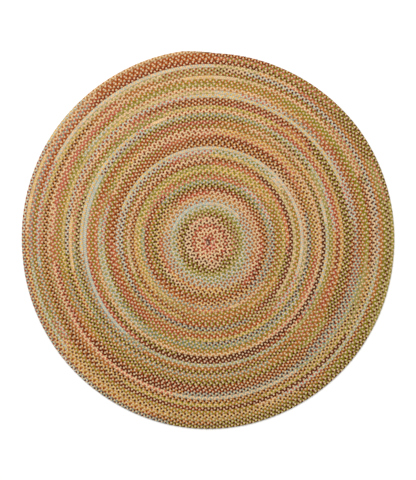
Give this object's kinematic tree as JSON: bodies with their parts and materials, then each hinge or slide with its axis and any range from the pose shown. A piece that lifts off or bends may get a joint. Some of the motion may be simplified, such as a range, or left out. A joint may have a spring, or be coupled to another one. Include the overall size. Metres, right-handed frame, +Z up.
{
  "type": "braided rug",
  "caption": "Round braided rug: a flat braid coiled from the middle into ridged, laced courses, with its tapered end laced down at the rim.",
  "frame": {"origin": "the middle of the finished rug, on the flat underside; the coil's first courses lie 10.7 mm off it, toward -Y", "axes": "+Z up out of the rug's face; the braid's end meets the rim at +Y; the coil runs outward clockwise seen from above"},
  "size_m": [1.6663, 1.6869, 0.0095],
  "materials": {
    "braid_yarn": "matt, dry braided yarn in mixed earth colours"
  },
  "bodies": {
    "root": {"braided_rug": "braid_yarn"}
  },
  "joints": []
}
